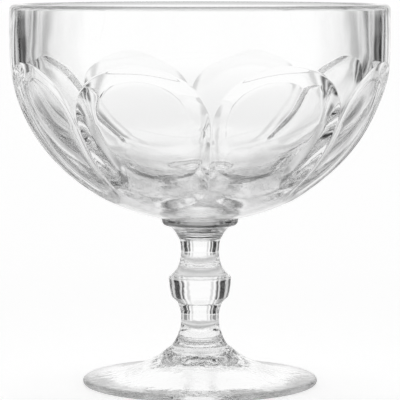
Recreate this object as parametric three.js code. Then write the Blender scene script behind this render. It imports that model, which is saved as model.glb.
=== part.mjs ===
// Footed dessert bowl of clear pressed glass, in millimetres, +Z up.
// The origin is the centre of the foot's resting plane. A ridge between two panels faces -Y.
import * as THREE from 'three';

// Bowl
const RIM_RADIUS = 52.5;
const BOWL_HEIGHT = 59.2;
const BAND_HEIGHT = 12.7;
const WALL = 4.8;
const FLOOR_THICKNESS = 7.9;
const LIP_ROUND = 1.5;

// Arched panels pressed into the bowl's side
const PANEL_COUNT = 8;
const CROWN_DROP = 15.3;
const ARCH_RISE = 16.5;
const PANEL_END_RISE = 4.7;
const TAIL_RISE = 6;
const PANEL_DEPTH = 1.8;
const BORDER_WIDTH = 6;

// Collar and upper neck of the stem
const STEM_LENGTH = 36.6;
const COLLAR_RADIUS = 10.7;
const COLLAR_EDGE = 2;
const COLLAR_LEDGE = 1;
const COLLAR_HEIGHT = 5.25;
const COLLAR_ROOT_RADIUS = 6.2;
const COLLAR_STEP = 0.3;
const UPPER_NECK_RADIUS = 5.25;
const UPPER_NECK_HEIGHT = 4.05;

// Knop, lower neck and flare of the stem
const SHOULDER_HEIGHT = 5.3;
const SHOULDER_RADIUS = 7;
const KNOP_BEVEL = 1.6;
const KNOP_RADIUS = 8.7;
const KNOP_HEIGHT = 5.5;
const KNOP_BASE_RADIUS = 7.9;
const KNOP_UNDERCUT = 1.5;
const RING_RADIUS = 6.2;
const RING_HEIGHT = 1.4;
const RING_TAPER = 0.4;
const RING_FLARE_HEIGHT = 1.9;
const LOWER_NECK_RADIUS = 5.3;
const LOWER_NECK_HEIGHT = 2.4;
const FLARE_RADIUS = 9;

// Foot
const FOOT_RADIUS = 32.7;
const FOOT_HEIGHT = 9.8;
const FOOT_LEDGE = 0.15;
const FOOT_EDGE = 2;
const REST_RING_WIDTH = 3;
const HOLLOW_HEIGHT = 7;
const HOLLOW_STEEPNESS = 5;

// Hollowness of a curve: 0 is straight, 1 fills the corner beside the narrower end, below 0 bulges.
const FLARE_HOLLOW = 0.5;
const KNOP_HOLLOW = -0.4;

// Fineness of the facets
const COLUMNS_PER_PANEL = 12;
const STEM_SEGMENTS = 36;
const FOOT_SEGMENTS = 56;

const GLASS_COLOUR = 0xf2f6f5;
const GLASS_ROUGHNESS = 0.05;
const GLASS_OPACITY = 0.35;

// Heights of the two joints and of the rim
const STEM_BASE_Z = FOOT_HEIGHT;
const BOWL_BASE_Z = STEM_BASE_Z + STEM_LENGTH;
const RIM_Z = BOWL_BASE_Z + BOWL_HEIGHT;

const HALF_PANEL = Math.PI / PANEL_COUNT;
const QUARTER_TURN = Math.PI / 2;

function glassMesh(name, geometry) {
  const material = new THREE.MeshStandardMaterial({
    color: GLASS_COLOUR,
    roughness: GLASS_ROUGHNESS,
    metalness: 0,
    transparent: true,
    opacity: GLASS_OPACITY,
  });
  const mesh = new THREE.Mesh(geometry, material);
  mesh.name = name;
  return mesh;
}

// Joins rings of points, in order from one pole to the other, into one closed skin.
function skin(rings) {
  const positions = [];
  const firsts = [];
  for (const ring of rings) {
    firsts.push(positions.length / 3);
    for (const point of ring) positions.push(point.x, point.y, point.z);
  }
  const triangles = [];
  for (let row = 0; row + 1 < rings.length; row += 1) {
    const low = rings[row].length;
    const high = rings[row + 1].length;
    const count = Math.max(low, high);
    for (let column = 0; column < count; column += 1) {
      const next = (column + 1) % count;
      const a = firsts[row] + (column % low);
      const b = firsts[row] + (next % low);
      const c = firsts[row + 1] + (next % high);
      const d = firsts[row + 1] + (column % high);
      if (low > 1) triangles.push(a, b, c);
      if (high > 1) triangles.push(a, c, d);
    }
  }
  const geometry = new THREE.BufferGeometry();
  geometry.setAttribute('position', new THREE.Float32BufferAttribute(positions, 3));
  geometry.setIndex(triangles);
  geometry.computeVertexNormals();
  return geometry;
}

function pole(z) {
  return [new THREE.Vector3(0, 0, z)];
}

// One ring of points: place gives the radius and height at a column. Column angles count from -Y towards +X.
function ringOf(columns, place) {
  return columns.map((column) => {
    const { radius, z } = place(column);
    return new THREE.Vector3(radius * Math.sin(column.angle), -radius * Math.cos(column.angle), z);
  });
}

// Revolves a profile about the upright axis. Its points are radius and height, from axis to axis.
function turned(profile, segments) {
  const geometry = new THREE.LatheGeometry(profile, segments);
  geometry.rotateX(QUARTER_TURN);
  return geometry;
}

// Draws a curve on to a point, hollow on the side of its narrower end, or bulging where hollow is negative.
function curveOn(path, radius, z, hollow) {
  const start = path.currentPoint;
  const end = new THREE.Vector2(radius, z);
  const middle = start.clone().add(end).multiplyScalar(0.5);
  const wide = start.x > radius ? start : end;
  const corner = new THREE.Vector2(Math.min(start.x, radius), wide.y);
  const control = middle.lerp(corner, hollow);
  path.quadraticCurveTo(control.x, control.y, radius, z);
}

// Bowl: both walls are upright in the band under the rim, and half ellipses below it
const BAND_Z = RIM_Z - BAND_HEIGHT;
const OUTER_DROP = (BAND_Z - BOWL_BASE_Z) / Math.sqrt(1 - (COLLAR_RADIUS / RIM_RADIUS) ** 2);
const INNER_RADIUS = RIM_RADIUS - WALL;
const INNER_DROP = BAND_Z - BOWL_BASE_Z - FLOOR_THICKNESS;
const SPRING_Z = RIM_Z - CROWN_DROP - ARCH_RISE;
const TAIL_Z = BOWL_BASE_Z + PANEL_END_RISE + TAIL_RISE;

function ellipseRadius(radius, drop, z) {
  const below = Math.max(0, BAND_Z - z) / drop;
  return radius * Math.sqrt(1 - below ** 2);
}

function outerRadius(z) {
  return ellipseRadius(RIM_RADIUS, OUTER_DROP, z);
}

// How far a point of a panel lies inside its outline: an arch above, upright ridges and a round tail below.
// The share is 0 on the panel's middle line and 1 on a ridge.
function insetFromOutline(share, z) {
  const halfWidth = outerRadius(z) * HALF_PANEL;
  const rise = z > SPRING_Z ? ARCH_RISE : TAIL_RISE;
  const past = Math.max(z - SPRING_Z, TAIL_Z - z, 0);
  if (past === 0) return halfWidth * (1 - share);
  const gap = 1 - share ** 2 - (past / rise) ** 2;
  const slope = 2 * Math.hypot(share / halfWidth, past / rise ** 2);
  return Math.max(0, gap / slope);
}

// A panel's border is a hollow curve from the outline down to the panel's floor.
function panelDepth(share, z) {
  const within = Math.min(1, insetFromOutline(share, z) / BORDER_WIDTH);
  return PANEL_DEPTH * (1 - (1 - within) ** 2);
}

// Columns of facets crowd towards the ridges, so that they follow the round arches.
function bowlColumns() {
  const columns = [];
  for (let panel = 0; panel < PANEL_COUNT; panel += 1) {
    for (let step = 0; step < COLUMNS_PER_PANEL; step += 1) {
      const turn = Math.PI * step / COLUMNS_PER_PANEL - QUARTER_TURN;
      const angle = HALF_PANEL * (2 * panel + 1 + Math.sin(turn));
      columns.push({ angle, share: Math.abs(Math.sin(turn)), lift: Math.cos(turn) });
    }
  }
  return columns;
}

function bowlGeometry() {
  const baseRows = 3;
  const panelRows = 16;
  const spandrelRows = 4;
  const lipRows = 4;
  const innerRows = 12;
  const columns = bowlColumns();
  const mix = THREE.MathUtils.lerp;
  const archZ = (column) => SPRING_Z + ARCH_RISE * column.lift;
  const tailZ = (column) => TAIL_Z - TAIL_RISE * column.lift;
  const plainRing = (radius, z) => ringOf(columns, () => ({ radius, z }));

  const rings = [pole(BOWL_BASE_Z), plainRing(COLLAR_RADIUS, BOWL_BASE_Z)];
  for (let row = 1; row <= baseRows; row += 1) {
    rings.push(ringOf(columns, (column) => {
      const z = mix(BOWL_BASE_Z, tailZ(column), row / baseRows);
      return { radius: outerRadius(z), z };
    }));
  }
  for (let row = 1; row <= panelRows; row += 1) {
    const along = 0.5 - 0.5 * Math.cos(Math.PI * row / panelRows);
    rings.push(ringOf(columns, (column) => {
      const z = mix(tailZ(column), archZ(column), along);
      return { radius: outerRadius(z) - panelDepth(column.share, z), z };
    }));
  }
  for (let row = 1; row <= spandrelRows; row += 1) {
    rings.push(ringOf(columns, (column) => {
      const z = mix(archZ(column), BAND_Z, row / spandrelRows);
      return { radius: outerRadius(z), z };
    }));
  }
  const lipZ = RIM_Z - LIP_ROUND;
  for (let row = 0; row <= lipRows; row += 1) {
    const turn = QUARTER_TURN * row / lipRows;
    rings.push(plainRing(RIM_RADIUS - LIP_ROUND * (1 - Math.cos(turn)), lipZ + LIP_ROUND * Math.sin(turn)));
  }
  for (let row = lipRows; row >= 0; row -= 1) {
    const turn = QUARTER_TURN * row / lipRows;
    rings.push(plainRing(INNER_RADIUS + LIP_ROUND * (1 - Math.cos(turn)), lipZ + LIP_ROUND * Math.sin(turn)));
  }
  for (let row = 0; row < innerRows; row += 1) {
    const z = BAND_Z - INNER_DROP * Math.sin(QUARTER_TURN * row / innerRows);
    rings.push(plainRing(ellipseRadius(INNER_RADIUS, INNER_DROP, z), z));
  }
  rings.push(pole(BAND_Z - INNER_DROP));
  return skin(rings);
}

// Stem: flare, lower neck, ring, knop, upper neck and a collar with a round edge
function stemGeometry() {
  const curveSteps = 4;
  const edgeZ = BOWL_BASE_Z - COLLAR_EDGE;
  const collarZ = BOWL_BASE_Z - COLLAR_HEIGHT;
  const stepZ = collarZ - COLLAR_STEP;
  const upperNeckZ = stepZ - UPPER_NECK_HEIGHT;
  const shoulderZ = upperNeckZ - SHOULDER_HEIGHT;
  const knopTopZ = shoulderZ - KNOP_BEVEL;
  const knopBaseZ = knopTopZ - KNOP_HEIGHT;
  const undercutZ = knopBaseZ - KNOP_UNDERCUT;
  const ringZ = undercutZ - RING_HEIGHT;
  const neckTopZ = ringZ - RING_FLARE_HEIGHT;
  const neckBaseZ = neckTopZ - LOWER_NECK_HEIGHT;
  const collarCentre = COLLAR_RADIUS - COLLAR_LEDGE;

  const outline = new THREE.Path();
  outline.moveTo(0, STEM_BASE_Z);
  outline.lineTo(FLARE_RADIUS, STEM_BASE_Z);
  curveOn(outline, LOWER_NECK_RADIUS, neckBaseZ, FLARE_HOLLOW);
  outline.lineTo(LOWER_NECK_RADIUS, neckTopZ);
  curveOn(outline, RING_RADIUS - RING_TAPER, ringZ, FLARE_HOLLOW);
  outline.lineTo(RING_RADIUS, undercutZ);
  outline.lineTo(KNOP_BASE_RADIUS, knopBaseZ);
  curveOn(outline, KNOP_RADIUS, knopTopZ, KNOP_HOLLOW);
  outline.lineTo(SHOULDER_RADIUS, shoulderZ);
  curveOn(outline, UPPER_NECK_RADIUS, upperNeckZ, FLARE_HOLLOW);
  curveOn(outline, COLLAR_ROOT_RADIUS - COLLAR_STEP, stepZ, FLARE_HOLLOW);
  outline.lineTo(COLLAR_ROOT_RADIUS, collarZ);
  curveOn(outline, collarCentre, edgeZ, FLARE_HOLLOW);
  outline.absellipse(collarCentre, BOWL_BASE_Z, COLLAR_LEDGE, COLLAR_EDGE, -QUARTER_TURN, 0, false, 0);
  outline.lineTo(0, BOWL_BASE_Z);
  return turned(outline.getPoints(curveSteps), STEM_SEGMENTS);
}

// Foot: a deep hollow inside the ring it rests on, a rounded edge, and a top that sweeps up to the stem
function footGeometry() {
  const hollowSteps = 8;
  const curveSteps = 4;
  const edgeRound = FOOT_EDGE / 2;
  const edgeCentre = FOOT_RADIUS - edgeRound;
  const hollowRadius = edgeCentre - REST_RING_WIDTH;

  const hollow = [];
  for (let step = 0; step < hollowSteps; step += 1) {
    const turn = QUARTER_TURN * step / hollowSteps;
    const height = HOLLOW_HEIGHT * Math.cos(turn) ** HOLLOW_STEEPNESS;
    hollow.push(new THREE.Vector2(hollowRadius * Math.sin(turn), height));
  }
  const outline = new THREE.Path();
  outline.moveTo(hollowRadius, 0);
  outline.lineTo(edgeCentre, 0);
  outline.absarc(edgeCentre, edgeRound, edgeRound, -QUARTER_TURN, QUARTER_TURN, false);
  curveOn(outline, FLARE_RADIUS + FOOT_LEDGE, FOOT_HEIGHT, FLARE_HOLLOW);
  outline.lineTo(0, FOOT_HEIGHT);
  return turned([...hollow, ...outline.getPoints(curveSteps)], FOOT_SEGMENTS);
}

const dessertBowl = new THREE.Group();
dessertBowl.add(glassMesh('bowl', bowlGeometry()));
dessertBowl.add(glassMesh('stem', stemGeometry()));
dessertBowl.add(glassMesh('foot', footGeometry()));

export default dessertBowl;
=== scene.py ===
"""Looks of the footed dessert bowl: clear pressed glass on a pale floor, in the CAD model's frame."""

from math import cos, pi, radians, sin

import bpy
import numpy as np
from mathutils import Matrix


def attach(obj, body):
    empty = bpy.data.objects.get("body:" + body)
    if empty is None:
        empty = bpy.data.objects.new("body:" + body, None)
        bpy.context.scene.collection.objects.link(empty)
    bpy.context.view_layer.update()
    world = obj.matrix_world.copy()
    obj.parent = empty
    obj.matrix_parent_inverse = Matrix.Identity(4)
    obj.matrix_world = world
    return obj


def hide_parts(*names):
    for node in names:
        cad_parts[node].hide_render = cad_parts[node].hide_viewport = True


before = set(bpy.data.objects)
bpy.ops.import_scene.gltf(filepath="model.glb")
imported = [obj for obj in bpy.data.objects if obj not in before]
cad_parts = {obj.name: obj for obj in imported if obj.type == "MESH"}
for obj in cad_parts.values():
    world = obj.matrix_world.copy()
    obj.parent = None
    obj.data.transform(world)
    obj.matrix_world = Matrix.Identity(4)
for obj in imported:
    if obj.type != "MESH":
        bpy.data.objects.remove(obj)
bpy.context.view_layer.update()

# Sizes of the object are in millimetres; meshes are made in metres.
MM = 0.001

# Panels round the bowl
SIDE_COUNT = 8
HALF_SIDE = pi / SIDE_COUNT

# Heights of the joints and of the rim
STEM_BASE_Z = 9.8
BOWL_BASE_Z = 46.4
RIM_Z = 105.6

# Bowl
RIM_RADIUS = 52.5
BAND_Z = 92.9
WALL = 4.8
CAVITY_FLOOR_Z = 54.3
LIP_ROUND = 1.5
COLLAR_RADIUS = 10.7
INNER_RADIUS = RIM_RADIUS - WALL
OUTER_DROP = (BAND_Z - BOWL_BASE_Z) / (1 - (COLLAR_RADIUS / RIM_RADIUS) ** 2) ** 0.5
CAVITY_DEPTH = BAND_Z - CAVITY_FLOOR_Z

# Arched panels
ARCH_RISE = 16.5
SPRING_Z = 73.8
TAIL_RISE = 6
TAIL_Z = 57.1
PANEL_DEPTH = 1.8
BORDER_WIDTH = 6
BORDER_POWER = 2
CREASE_ROUND = 0.15

# Slopes of a panel's outline are taken as at least this, because one is zero at the panel's middle.
LEAST_SLOPE = 0.001

# Outline of the stem upwards: radius, height, and hollow of the stretch that leads there
STEM_OUTLINE = (
    (9, 9.8, 0),
    (5.3, 17.2, 0.5),
    (5.3, 19.6, 0),
    (5.8, 21.5, 0.5),
    (6.2, 22.9, 0),
    (7.9, 24.4, 0),
    (8.7, 29.9, -0.4),
    (7, 31.5, 0),
    (5.25, 36.8, 0.5),
    (5.9, 40.85, 0.5),
    (6.2, 41.15, 0),
    (9.7, 44.4, 0.5),
)
STEM_CORNER = 0.3
COLLAR_EDGE = 2
COLLAR_LEDGE = 1

# Foot
FOOT_RADIUS = 32.7
FOOT_EDGE_ROUND = 1
FOOT_TOP_RADIUS = 9.15
REST_RING_WIDTH = 3
HOLLOW_HEIGHT = 7
HOLLOW_POWER = 5
SWEEP_HOLLOW = 0.5
FOOT_CORNER = 0.6

# Fineness of the meshes: columns round the axis, and steps along the outlines
COLUMNS_PER_SIDE = 56
STEM_COLUMNS = 160
FOOT_COLUMNS = 256
BASE_STEPS = 12
PANEL_STEPS = 90
BAND_STEPS = 20
CAVITY_STEPS = 50
ROUND_STEPS = 8
STRETCH_STEPS = 24
HOLLOW_STEPS = 59
EDGE_STEPS = 24
CORNER_STEPS = 3

# Rows of a panel crowd towards its arch and its tail, apart from this share of each step.
EVEN_SHARE = 0.4

# Skin of the glass: a broad ripple all over, and finer marks of the mould low down
GLASS_INDEX = 1.52
RIPPLE_SCALE = 90
RIPPLE_DETAIL = 1
RIPPLE_HEIGHT = 0.05
MARK_SCALE = 420
MARK_DETAIL = 2
MARK_HEIGHT = 0.09
MARKS_FULL_Z = 50
MARKS_END_Z = 62

# Haze: faint patches all over, and a stronger even haze towards the base of the bowl
HAZE_SCALE = 260
HAZE_DETAIL = 4
HAZE_START = 0.45
HAZE_FULL = 0.8
HAZE_ROUGHNESS = 0.03
BASE_HAZE_FULL_Z = 50
BASE_HAZE_END_Z = 64
BASE_HAZE_ROUGHNESS = 0.12

# Colour of the glass, which varies a little with the ripple, and painted shade that darkens the lip and the
# collar's rim
PALE_TINT = (0.996, 0.998, 0.997, 1)
CLEAR_TINT = (1, 1, 1, 1)
LIP_PAINTED_SHADE = 0.4
COLLAR_PAINTED_SHADE = 0.4
COLLAR_SHADE_Z = 44.6
COLLAR_SHADE_FADE = 0.4

# Changes at the joint of stem and bowl fade over this height to either side of it.
JOINT_FADE = 0.2

# Share of the light that passes a fused joint
SEAM_LEVEL = 0.95

# Brightness of the studio round the object and above it, as (degrees from straight behind, level)
SURROUND = (
    (0, 1), (13, 1), (15, 0.7), (17, 0.7), (19, 1), (21, 1), (24, 0.1), (26, 0.1), (28, 0.9),
    (32, 0), (44, 0), (47, 0.6), (56, 0.6), (60, 0), (80, 0), (90, 1), (180, 1),
)
OVERHEAD = ((0, 0.7), (15, 1), (30, 0.9), (45, 0.25), (90, 0.03), (180, 0.03))
HALF_TURN_DEGREES = 180

# The ceiling takes over between these heights on a unit sphere.
CEILING_LOW = 0.3
CEILING_HIGH = 0.7

# Brightness of the floor in the glass, as (metres from the axis, level)
FLOOR_SHADE = ((0, 1), (0.026, 1), (0.033, 0.3), (0.05, 0.75), (0.08, 0.5), (0.12, 0.9), (0.15, 0.95))

# How far the floor takes the studio's level at its bearing instead, as (metres from the axis, share)
FLOOR_LIKE_STUDIO = ((0, 0), (0.1, 0), (0.13, 0.75), (0.2, 0.75), (0.25, 0.25), (0.42, 0.25), (0.6, 1))

# The camera sees the floor's own glow and the light that falls on it, which together are white.
FLOOR_COLOUR = 0.9
FLOOR_GLOW = 0.66

# The floor reaches this far each way, in metres, and lies just under the foot.
FLOOR_REACH = 6
FLOOR_GAP = 0.05

# Camera of the photograph, turned a little from the ridge that faces -Y
VIEW_TURN = radians(3.5)
VIEW_PITCH = radians(5.3)
VIEW_DISTANCE = 0.693
VIEW_HEIGHT = 0.1156
VIEW_ANGLE = radians(9.12)

# Light crosses many glass faces before it leaves the bowl.
BOUNCES = 64


def closed_mesh(name, angles, rows, joint_rows):
    """Skin over rows of (radius, height), from pole to pole. Faces of joint_rows touch a neighbour."""
    count = len(angles)
    points = []
    rings = []
    total = 0
    for radius, z in rows:
        if np.ndim(radius) == 0 and radius == 0:
            points.append([[0, 0, z]])
            rings.append(np.full(count, total))
            total += 1
            continue
        radius = np.broadcast_to(radius, count)
        z = np.broadcast_to(z, count)
        points.append(np.stack([radius * np.sin(angles), -radius * np.cos(angles), z], axis=1))
        rings.append(np.arange(total, total + count))
        total += count
    faces = []
    joints = []
    for row, (low, high) in enumerate(zip(rings[:-1], rings[1:])):
        corners = [low, np.roll(low, -1), np.roll(high, -1), high]
        if low[0] == low[1]:
            corners = [low, corners[2], high]
        elif high[0] == high[1]:
            corners = [low, corners[1], high]
        faces.extend(np.stack(corners, axis=1).tolist())
        joints.extend([row in joint_rows] * count)
    mesh = bpy.data.meshes.new(name)
    mesh.from_pydata((np.concatenate(points) * MM).tolist(), [], faces)
    mesh.polygons.foreach_set("use_smooth", [not joint for joint in joints])
    mesh.polygons.foreach_set("material_index", [int(joint) for joint in joints])
    mesh.update()
    piece = bpy.data.objects.new(name, mesh)
    bpy.context.scene.collection.objects.link(piece)
    return piece


def even_columns(count):
    """Angles round the axis at even steps."""
    return np.linspace(0, 2 * pi, count + 1)[:-1]


def crowded_columns(per_side):
    """Angles that crowd at the ridges, each with its share of the way to a ridge and its arch's rise."""
    turn = pi * np.arange(per_side) / per_side - pi / 2
    angles = [HALF_SIDE * (2 * side + 1 + np.sin(turn)) for side in range(SIDE_COUNT)]
    share = np.tile(np.abs(np.sin(turn)), SIDE_COUNT)
    rise = np.tile(np.cos(turn), SIDE_COUNT)
    return np.concatenate(angles), share, rise


def outer_radius(z):
    """Radius of the bowl's round side, before the panels are pressed in."""
    below = np.maximum(0, BAND_Z - np.asarray(z, dtype=float)) / OUTER_DROP
    return RIM_RADIUS * np.sqrt(1 - below ** 2)


def panel_depth(share, z):
    """Depth of a panel: a hollow border inside an outline of arch, upright ridges and round tail."""
    half_width = outer_radius(z) * HALF_SIDE
    rise = np.where(z > SPRING_Z, ARCH_RISE, TAIL_RISE)
    past = np.maximum(np.maximum(z - SPRING_Z, TAIL_Z - z), 0)
    gap = 1 - share ** 2 - (past / rise) ** 2
    slope = 2 * np.hypot(share / half_width, past / rise ** 2)
    rounded_end = gap / np.maximum(slope, LEAST_SLOPE)
    inset = np.where(past > 0, rounded_end, half_width * (1 - share))
    inset = np.maximum(inset, 0)
    inset = np.sqrt(inset ** 2 + CREASE_ROUND ** 2) - CREASE_ROUND
    within = np.minimum(1, inset / BORDER_WIDTH)
    return PANEL_DEPTH * (1 - (1 - within) ** BORDER_POWER)


def make_bowl():
    """Bowl from its base up the outside, over the lip and down the cavity, in rows that follow the panels."""
    angles, share, rise = crowded_columns(COLUMNS_PER_SIDE)
    arch_z = SPRING_Z + ARCH_RISE * rise
    tail_z = TAIL_Z - TAIL_RISE * rise
    rows = [(0, BOWL_BASE_Z), (COLLAR_RADIUS, BOWL_BASE_Z)]
    for along in np.linspace(0, 1, BASE_STEPS + 1)[1:]:
        z = BOWL_BASE_Z + (tail_z - BOWL_BASE_Z) * along
        rows.append((outer_radius(z), z))
    for step in np.linspace(0, 1, PANEL_STEPS + 1)[1:]:
        crowded = (1 - cos(pi * step)) / 2
        along = EVEN_SHARE * step + (1 - EVEN_SHARE) * crowded
        z = tail_z + (arch_z - tail_z) * along
        rows.append((outer_radius(z) - panel_depth(share, z), z))
    for along in np.linspace(0, 1, BAND_STEPS + 1)[1:]:
        z = arch_z + (BAND_Z - arch_z) * along
        rows.append((outer_radius(z), z))
    lip_z = RIM_Z - LIP_ROUND
    for turn in np.linspace(0, pi / 2, ROUND_STEPS + 1):
        rows.append((RIM_RADIUS - LIP_ROUND * (1 - cos(turn)), lip_z + LIP_ROUND * sin(turn)))
    for turn in np.linspace(pi / 2, 0, ROUND_STEPS + 1):
        rows.append((INNER_RADIUS + LIP_ROUND * (1 - cos(turn)), lip_z + LIP_ROUND * sin(turn)))
    for turn in np.linspace(0, pi / 2, CAVITY_STEPS + 1)[:-1]:
        rows.append((INNER_RADIUS * cos(turn), BAND_Z - CAVITY_DEPTH * sin(turn)))
    rows.append((0, CAVITY_FLOOR_Z))
    return closed_mesh("glass_bowl", angles, rows, joint_rows=(0,))


def curve_to(outline, radius, z, hollow=0):
    """Adds a stretch to an outline: straight, or hollow beside its narrower end."""
    start_radius, start_z = outline[-1]
    corner_radius = min(start_radius, radius)
    corner_z = start_z if start_radius > radius else z
    middle_radius = (start_radius + radius) / 2
    middle_z = (start_z + z) / 2
    control_radius = middle_radius + hollow * (corner_radius - middle_radius)
    control_z = middle_z + hollow * (corner_z - middle_z)
    for t in np.linspace(0, 1, STRETCH_STEPS + 1)[1:]:
        near = (1 - t) ** 2
        bend = 2 * t * (1 - t)
        outline.append((near * start_radius + bend * control_radius + t ** 2 * radius,
                        near * start_z + bend * control_z + t ** 2 * z))


def softened(outline, corner):
    """The outline in even steps, with its corners rounded over the given length."""
    points = np.array(outline)
    lengths = np.concatenate([[0], np.cumsum(np.hypot(*np.diff(points, axis=0).T))])
    even = np.linspace(0, lengths[-1], int(CORNER_STEPS * lengths[-1] / corner) + 1)
    radius = np.interp(even, lengths, points[:, 0])
    z = np.interp(even, lengths, points[:, 1])
    last = len(even) - 1
    rounded = []
    for index in range(len(even)):
        reach = min(CORNER_STEPS, index, last - index)
        near = slice(index - reach, index + reach + 1)
        rounded.append((float(radius[near].mean()), float(z[near].mean())))
    return rounded


def make_stem():
    """Turned stem, with a rounded rim on its collar."""
    outline = [STEM_OUTLINE[0][:2]]
    for radius, z, hollow in STEM_OUTLINE[1:]:
        curve_to(outline, radius, z, hollow)
    rows = [(0, STEM_BASE_Z)]
    rows.extend(softened(outline, STEM_CORNER))
    for turn in np.linspace(0, pi / 2, ROUND_STEPS + 1)[1:]:
        rows.append((COLLAR_RADIUS - COLLAR_LEDGE * (1 - sin(turn)), BOWL_BASE_Z - COLLAR_EDGE * cos(turn)))
    rows.append((0, BOWL_BASE_Z))
    return closed_mesh("glass_stem", even_columns(STEM_COLUMNS), rows, joint_rows=(0, len(rows) - 2))


def make_foot():
    """Foot from the top of its hollow underside, over the ring that it rests on, to the stem."""
    edge_centre = FOOT_RADIUS - FOOT_EDGE_ROUND
    hollow_radius = edge_centre - REST_RING_WIDTH
    outline = []
    for turn in np.linspace(0, pi / 2, HOLLOW_STEPS + 1):
        outline.append((hollow_radius * sin(turn), HOLLOW_HEIGHT * cos(turn) ** HOLLOW_POWER))
    for turn in np.linspace(-pi / 2, pi / 2, EDGE_STEPS + 1):
        outline.append((edge_centre + FOOT_EDGE_ROUND * cos(turn), FOOT_EDGE_ROUND * (1 + sin(turn))))
    curve_to(outline, FOOT_TOP_RADIUS, STEM_BASE_Z, SWEEP_HOLLOW)
    rows = softened(outline, FOOT_CORNER)
    rows.append((0, STEM_BASE_Z))
    return closed_mesh("glass_foot", even_columns(FOOT_COLUMNS), rows, joint_rows=(len(rows) - 2,))


def new_material(name):
    """Material with its nodes and links."""
    material = bpy.data.materials.new(name)
    material.use_nodes = True
    return material, material.node_tree.nodes, material.node_tree.links


def noise(nodes, links, spot, scale, detail):
    """Noise at a spot of the object."""
    texture = nodes.new("ShaderNodeTexNoise")
    texture.inputs["Scale"].default_value = scale
    texture.inputs["Detail"].default_value = detail
    links.new(spot, texture.inputs["Vector"])
    return texture.outputs["Fac"]


def add_math(nodes, links, operation, first, second):
    """Result of an operation on two values, each a socket or a number."""
    node = nodes.new("ShaderNodeMath")
    node.operation = operation
    for socket, value in zip(node.inputs, (first, second)):
        if isinstance(value, (int, float)):
            socket.default_value = value
        else:
            links.new(value, socket)
    return node.outputs["Value"]


def rising(nodes, links, value, low, high):
    """0 below low, 1 above high, smooth between."""
    step = nodes.new("ShaderNodeMapRange")
    step.interpolation_type = "SMOOTHSTEP"
    step.inputs["From Min"].default_value = low
    step.inputs["From Max"].default_value = high
    links.new(value, step.inputs["Value"])
    return step.outputs["Result"]


def falling(nodes, links, value, low, high):
    """1 below low, 0 above high, smooth between."""
    return add_math(nodes, links, "SUBTRACT", 1, rising(nodes, links, value, low, high))


def mixed(nodes, links, factor, first, second):
    """Colour between two, each a socket or a grey level."""
    mix = nodes.new("ShaderNodeMix")
    mix.data_type = "RGBA"
    links.new(factor, mix.inputs["Factor"])
    for name, value in (("A", first), ("B", second)):
        socket = next(entry for entry in mix.inputs if entry.name == name and entry.type == "RGBA")
        if isinstance(value, (int, float)):
            socket.default_value = (value, value, value, 1)
        else:
            links.new(value, socket)
    return next(entry for entry in mix.outputs if entry.type == "RGBA")


def level_ramp(nodes, links, value, steps):
    """Grey level that changes with a value, through steps of (value, level)."""
    ramp = nodes.new("ShaderNodeValToRGB")
    stops = ramp.color_ramp.elements
    for number, (position, level) in enumerate(steps):
        stop = stops[number] if number < len(stops) else stops.new(position)
        stop.position = position
        stop.color = (level, level, level, 1)
    links.new(value, ramp.inputs["Fac"])
    return ramp.outputs["Color"]


def skin_normal(nodes, links, spot, height, ripple):
    """Relief of the skin: the ripple all over, and the marks of the mould low down."""
    marks = noise(nodes, links, spot, MARK_SCALE, MARK_DETAIL)
    low = falling(nodes, links, height, MARKS_FULL_Z * MM, MARKS_END_Z * MM)
    marks = add_math(nodes, links, "MULTIPLY", marks, low)
    marks = add_math(nodes, links, "MULTIPLY", marks, MARK_HEIGHT * MM)
    waves = add_math(nodes, links, "MULTIPLY", ripple, RIPPLE_HEIGHT * MM)
    relief = add_math(nodes, links, "ADD", waves, marks)
    bump = nodes.new("ShaderNodeBump")
    bump.inputs["Distance"].default_value = 1
    links.new(relief, bump.inputs["Height"])
    return bump.outputs["Normal"]


def skin_roughness(nodes, links, spot, height, in_stem):
    """Haze of the skin: faint patches all over, and more towards the base of the bowl."""
    patches = nodes.new("ShaderNodeMapRange")
    patches.inputs["From Min"].default_value = HAZE_START
    patches.inputs["From Max"].default_value = HAZE_FULL
    patches.inputs["To Max"].default_value = HAZE_ROUGHNESS
    links.new(noise(nodes, links, spot, HAZE_SCALE, HAZE_DETAIL), patches.inputs["Value"])
    near_base = falling(nodes, links, height, BASE_HAZE_FULL_Z * MM, BASE_HAZE_END_Z * MM)
    in_bowl = add_math(nodes, links, "SUBTRACT", 1, in_stem)
    base_haze = add_math(nodes, links, "MULTIPLY", near_base, in_bowl)
    base_haze = add_math(nodes, links, "MULTIPLY", base_haze, BASE_HAZE_ROUGHNESS)
    return add_math(nodes, links, "ADD", patches.outputs["Result"], base_haze)


def tint_and_painted_shade(nodes, links, height, ripple, in_stem):
    """Nearly white, with a trace of change along the ripple, and painted shade that darkens the lip and the
    collar's rim.
    """
    tint = nodes.new("ShaderNodeValToRGB")
    tint.color_ramp.elements[0].color = PALE_TINT
    tint.color_ramp.elements[1].color = CLEAR_TINT
    links.new(ripple, tint.inputs["Fac"])
    # Painted shade: the glass darkens over the lip's rounding.
    lip = rising(nodes, links, height, (RIM_Z - LIP_ROUND) * MM, RIM_Z * MM)
    colour = mixed(nodes, links, lip, tint.outputs["Color"], LIP_PAINTED_SHADE)
    # Painted shade: the collar's rim darkens from just above its lower edge up to the joint with the bowl.
    collar_low = (COLLAR_SHADE_Z - COLLAR_SHADE_FADE) * MM
    collar_high = (COLLAR_SHADE_Z + COLLAR_SHADE_FADE) * MM
    above = rising(nodes, links, height, collar_low, collar_high)
    collar = add_math(nodes, links, "MULTIPLY", above, in_stem)
    return mixed(nodes, links, collar, colour, COLLAR_PAINTED_SHADE)


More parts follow.
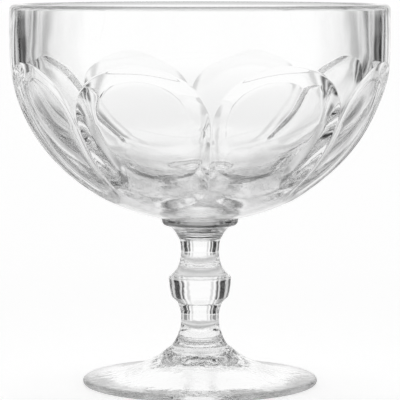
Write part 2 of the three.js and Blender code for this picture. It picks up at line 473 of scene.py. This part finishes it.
def pressed_glass(name):
    """Clear glass with the faint ripple, marks and haze that a mould leaves on its skin, and painted shade at
    the lip and the collar's rim.
    """
    material, nodes, links = new_material(name)
    glass = nodes["Principled BSDF"]
    glass.inputs["Transmission Weight"].default_value = 1
    glass.inputs["IOR"].default_value = GLASS_INDEX
    spot = nodes.new("ShaderNodeTexCoord").outputs["Object"]
    parts = nodes.new("ShaderNodeSeparateXYZ")
    links.new(spot, parts.inputs["Vector"])
    height = parts.outputs["Z"]
    ripple = noise(nodes, links, spot, RIPPLE_SCALE, RIPPLE_DETAIL)
    in_stem = falling(nodes, links, height, (BOWL_BASE_Z - JOINT_FADE) * MM, (BOWL_BASE_Z + JOINT_FADE) * MM)
    links.new(skin_normal(nodes, links, spot, height, ripple), glass.inputs["Normal"])
    links.new(skin_roughness(nodes, links, spot, height, in_stem), glass.inputs["Roughness"])
    links.new(tint_and_painted_shade(nodes, links, height, ripple, in_stem), glass.inputs["Base Color"])
    return material


def fused_joint():
    """Where two pieces are fused, light passes from glass to glass and loses a little at the seam."""
    material, nodes, links = new_material("fused_joint")
    nodes.clear()
    clear = nodes.new("ShaderNodeBsdfTransparent")
    clear.inputs["Color"].default_value = (SEAM_LEVEL, SEAM_LEVEL, SEAM_LEVEL, 1)
    out = nodes.new("ShaderNodeOutputMaterial")
    links.new(clear.outputs["BSDF"], out.inputs["Surface"])
    return material


def dress(piece, node):
    """Gives a piece its glass and its place on the part."""
    piece.data.materials.append(pressed_glass(node + "_pressed_glass"))
    piece.data.materials.append(joint_material)
    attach(piece, "root")
    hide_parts(node)


def bearing_share(nodes, links, vector):
    """How far a direction is turned from straight behind the object: 0 there, 1 towards the camera."""
    turn = nodes.new("ShaderNodeVectorRotate")
    turn.rotation_type = "Z_AXIS"
    turn.inputs["Angle"].default_value = VIEW_TURN
    links.new(vector, turn.inputs["Vector"])
    parts = nodes.new("ShaderNodeSeparateXYZ")
    links.new(turn.outputs["Vector"], parts.inputs["Vector"])
    bearing = add_math(nodes, links, "ARCTAN2", parts.outputs["X"], parts.outputs["Y"])
    bearing = add_math(nodes, links, "ABSOLUTE", bearing, 0)
    return add_math(nodes, links, "DIVIDE", bearing, pi)


def studio_level(nodes, links, share, levels):
    """Brightness of the studio by bearing."""
    steps = [(degrees_off / HALF_TURN_DEGREES, level) for degrees_off, level in levels]
    return level_ramp(nodes, links, share, steps)


def floor_level(nodes, links, position):
    """Brightness of the floor in the glass: shaded near the object, and further out more like the studio."""
    distance = nodes.new("ShaderNodeVectorMath")
    distance.operation = "LENGTH"
    links.new(position, distance.inputs[0])
    shade = level_ramp(nodes, links, distance.outputs["Value"], FLOOR_SHADE)
    likeness = level_ramp(nodes, links, distance.outputs["Value"], FLOOR_LIKE_STUDIO)
    studio = studio_level(nodes, links, bearing_share(nodes, links, position), SURROUND)
    return mixed(nodes, links, likeness, shade, studio)


def pale_floor():
    """Floor that is white with the object's shadow to the camera, and has its own levels in the glass."""
    material, nodes, links = new_material("pale_floor")
    nodes.clear()
    position = nodes.new("ShaderNodeNewGeometry").outputs["Position"]
    path = nodes.new("ShaderNodeLightPath").outputs
    camera_ray = path["Is Camera Ray"]
    glass_ray = add_math(nodes, links, "MAXIMUM", path["Is Glossy Ray"], path["Is Transmission Ray"])
    seen = add_math(nodes, links, "MAXIMUM", camera_ray, glass_ray)
    level = mixed(nodes, links, camera_ray, floor_level(nodes, links, position), FLOOR_GLOW)
    glow = nodes.new("ShaderNodeEmission")
    links.new(mixed(nodes, links, seen, 0, level), glow.inputs["Color"])
    matt = nodes.new("ShaderNodeBsdfDiffuse")
    links.new(mixed(nodes, links, glass_ray, FLOOR_COLOUR, 0), matt.inputs["Color"])
    both = nodes.new("ShaderNodeAddShader")
    links.new(matt.outputs["BSDF"], both.inputs[0])
    links.new(glow.outputs["Emission"], both.inputs[1])
    out = nodes.new("ShaderNodeOutputMaterial")
    links.new(both.outputs["Shader"], out.inputs["Surface"])
    return material


def make_floor():
    """Wide floor just under the foot."""
    mesh = bpy.data.meshes.new("floor")
    corners = [(-FLOOR_REACH, -FLOOR_REACH, 0), (FLOOR_REACH, -FLOOR_REACH, 0),
               (FLOOR_REACH, FLOOR_REACH, 0), (-FLOOR_REACH, FLOOR_REACH, 0)]
    mesh.from_pydata(corners, [], [(0, 1, 2, 3)])
    mesh.materials.append(pale_floor())
    floor = bpy.data.objects.new("floor", mesh)
    bpy.context.scene.collection.objects.link(floor)
    floor.location.z = -FLOOR_GAP * MM


def make_world():
    """Studio of bright and dark stretches round the object, under a ceiling that is bright only behind it."""
    world = bpy.data.worlds.new("studio")
    bpy.context.scene.world = world
    world.use_nodes = True
    nodes = world.node_tree.nodes
    links = world.node_tree.links
    nodes.clear()
    direction = nodes.new("ShaderNodeTexCoord").outputs["Generated"]
    share = bearing_share(nodes, links, direction)
    surround = studio_level(nodes, links, share, SURROUND)
    overhead = studio_level(nodes, links, share, OVERHEAD)
    parts = nodes.new("ShaderNodeSeparateXYZ")
    links.new(direction, parts.inputs["Vector"])
    above = rising(nodes, links, parts.outputs["Z"], CEILING_LOW, CEILING_HIGH)
    level = mixed(nodes, links, above, surround, overhead)
    camera_ray = nodes.new("ShaderNodeLightPath").outputs["Is Camera Ray"]
    sky = nodes.new("ShaderNodeBackground")
    links.new(mixed(nodes, links, camera_ray, level, 1), sky.inputs["Color"])
    out = nodes.new("ShaderNodeOutputWorld")
    links.new(sky.outputs["Background"], out.inputs["Surface"])


def make_camera():
    """Camera of the photograph."""
    data = bpy.data.cameras.new("camera")
    data.angle = VIEW_ANGLE
    camera = bpy.data.objects.new("camera", data)
    bpy.context.scene.collection.objects.link(camera)
    camera.location = (-VIEW_DISTANCE * sin(VIEW_TURN), -VIEW_DISTANCE * cos(VIEW_TURN), VIEW_HEIGHT)
    camera.rotation_euler = (pi / 2 - VIEW_PITCH, 0, -VIEW_TURN)
    bpy.context.scene.camera = camera


joint_material = fused_joint()
dress(make_bowl(), "bowl")
dress(make_stem(), "stem")
dress(make_foot(), "foot")
make_floor()
make_world()
make_camera()

scene = bpy.context.scene
scene.view_settings.view_transform = "Standard"
scene.cycles.max_bounces = BOUNCES
scene.cycles.glossy_bounces = BOUNCES
scene.cycles.transmission_bounces = BOUNCES
